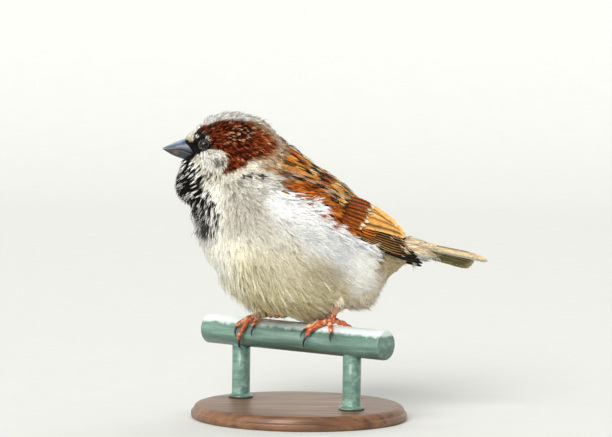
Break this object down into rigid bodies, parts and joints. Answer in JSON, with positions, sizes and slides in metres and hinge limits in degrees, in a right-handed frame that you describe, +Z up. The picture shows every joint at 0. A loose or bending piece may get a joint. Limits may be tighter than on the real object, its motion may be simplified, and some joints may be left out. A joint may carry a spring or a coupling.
{
  "type": "perched bird figure",
  "caption": "Life-size male house sparrow, feathers fluffed, gripping a short round rail held by a plain rod display stand.",
  "frame": {"origin": "middle of the bounding box's bottom, level with the underside of the stand's base", "axes": "+Z up; the bird faces -X and its left side faces -Y"},
  "size_m": [0.1388, 0.092, 0.1294],
  "materials": {
    "crown_feathers": "soft chestnut and grey plumage",
    "breast_feathers": "soft pale plumage",
    "back_feathers": "soft streaked brown plumage",
    "rump_feathers": "soft grey-brown plumage",
    "wing_feathers": "smooth flight feathers and coverts",
    "tail_feathers": "smooth tail feathers",
    "bill": "smooth blue-grey horn",
    "eye": "wet gloss",
    "leg": "scaly reddish skin",
    "claw": "polished dark horn",
    "rail": "worn grey-green paint",
    "stand_rod": "satin grey-green paint",
    "stand_base": "oiled dark wood"
  },
  "bodies": {
    "root": {"back": "back_feathers", "belly": "breast_feathers", "bill_lower": "bill", "bill_upper": "bill", "breast": "breast_feathers", "claw_left_hind": "claw", "claw_left_inner": "claw", "claw_left_middle": "claw", "claw_left_outer": "claw", "claw_right_hind": "claw", "claw_right_inner": "claw", "claw_right_middle": "claw", "claw_right_outer": "claw", "eye_left": "eye", "eye_right": "eye", "foot_left": "leg", "foot_right": "leg", "head": "crown_feathers", "neck": "breast_feathers", "perch_rail": "rail", "rump": "rump_feathers", "stand_base": "stand_base", "stand_rod_left": "stand_rod", "stand_rod_right": "stand_rod", "tail_left": "tail_feathers", "tail_middle": "tail_feathers", "tail_right": "tail_feathers", "tarsus_left": "leg", "tarsus_right": "leg", "thigh_left": "breast_feathers", "thigh_right": "breast_feathers", "vent": "breast_feathers", "wing_left_coverts": "wing_feathers", "wing_left_primaries": "wing_feathers", "wing_left_secondaries": "wing_feathers", "wing_left_tertials": "wing_feathers", "wing_right_coverts": "wing_feathers", "wing_right_primaries": "wing_feathers", "wing_right_secondaries": "wing_feathers", "wing_right_tertials": "wing_feathers"}
  },
  "joints": []
}
